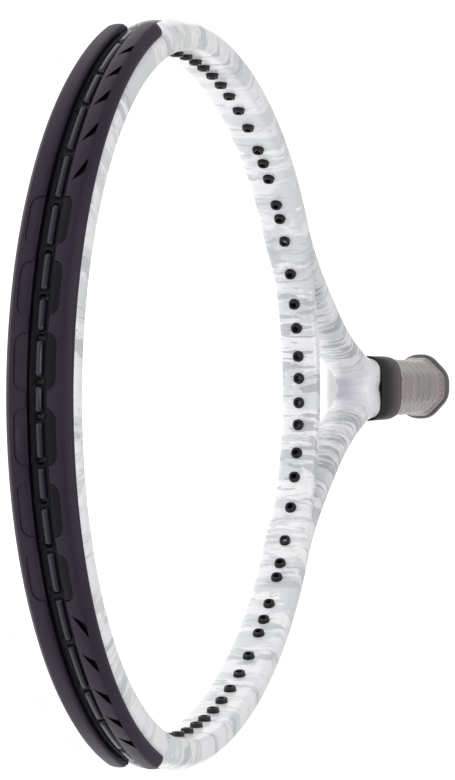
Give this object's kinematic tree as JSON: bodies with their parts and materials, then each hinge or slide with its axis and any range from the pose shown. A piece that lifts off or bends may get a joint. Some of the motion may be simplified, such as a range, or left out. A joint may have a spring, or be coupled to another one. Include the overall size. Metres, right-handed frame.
{
  "type": "tennis racket frame",
  "caption": "Unstrung tennis racket frame: oval head with bumper guard and grommets, open throat with bridge, wrapped handle with sliding collar and hinged butt trap door.",
  "frame": {"origin": "centre of the butt cap's end face", "axes": "+Y along the racket from the butt to the tip of the head; +Z normal to the plane of the head; X across the head"},
  "size_m": [0.2704, 0.685, 0.0364],
  "materials": {
    "frame_paint": "white lacquer with a light grey camouflage pattern over a carbon tube",
    "bumper": "matte moulded nylon",
    "grommet": "moulded nylon",
    "pallet": "moulded foam",
    "weight": "dull lead strip",
    "foam": "rigid foam",
    "butt_plastic": "satin moulded plastic",
    "staple": "wire",
    "grip": "perforated synthetic grip",
    "tape": "vinyl tape",
    "collar_rubber": "matte rubber"
  },
  "bodies": {
    "racket": {"frame_hairpin": "frame_paint", "throat_bridge": "frame_paint", "bumper_guard": "bumper", "head_grommet_strip": "grommet", "left_grommet_strip": "grommet", "right_grommet_strip": "grommet", "throat_grommet_strip": "grommet", "handle_pallet_upper": "pallet", "handle_pallet_lower": "pallet", "balance_weight": "weight", "leg_foam_plugs": "foam", "butt_cap": "butt_plastic", "butt_cap_staples": "staple", "grip_start_staple": "staple", "base_grip": "grip", "finishing_tape": "tape"},
    "collar": {"grip_collar": "collar_rubber"},
    "trap_door": {"trap_door": "butt_plastic"}
  },
  "joints": [
    {"name": "collar_slide", "type": "slide", "parent": "racket", "child": "collar", "axis": [0, 1, 0], "range_m": [0, 0.009]},
    {"name": "trap_door_hinge", "type": "hinge", "parent": "racket", "child": "trap_door", "pos_m": [0, 0.00095, 0.0062], "axis": [-1, 0, 0], "range_deg": [0, 95]}
  ]
}
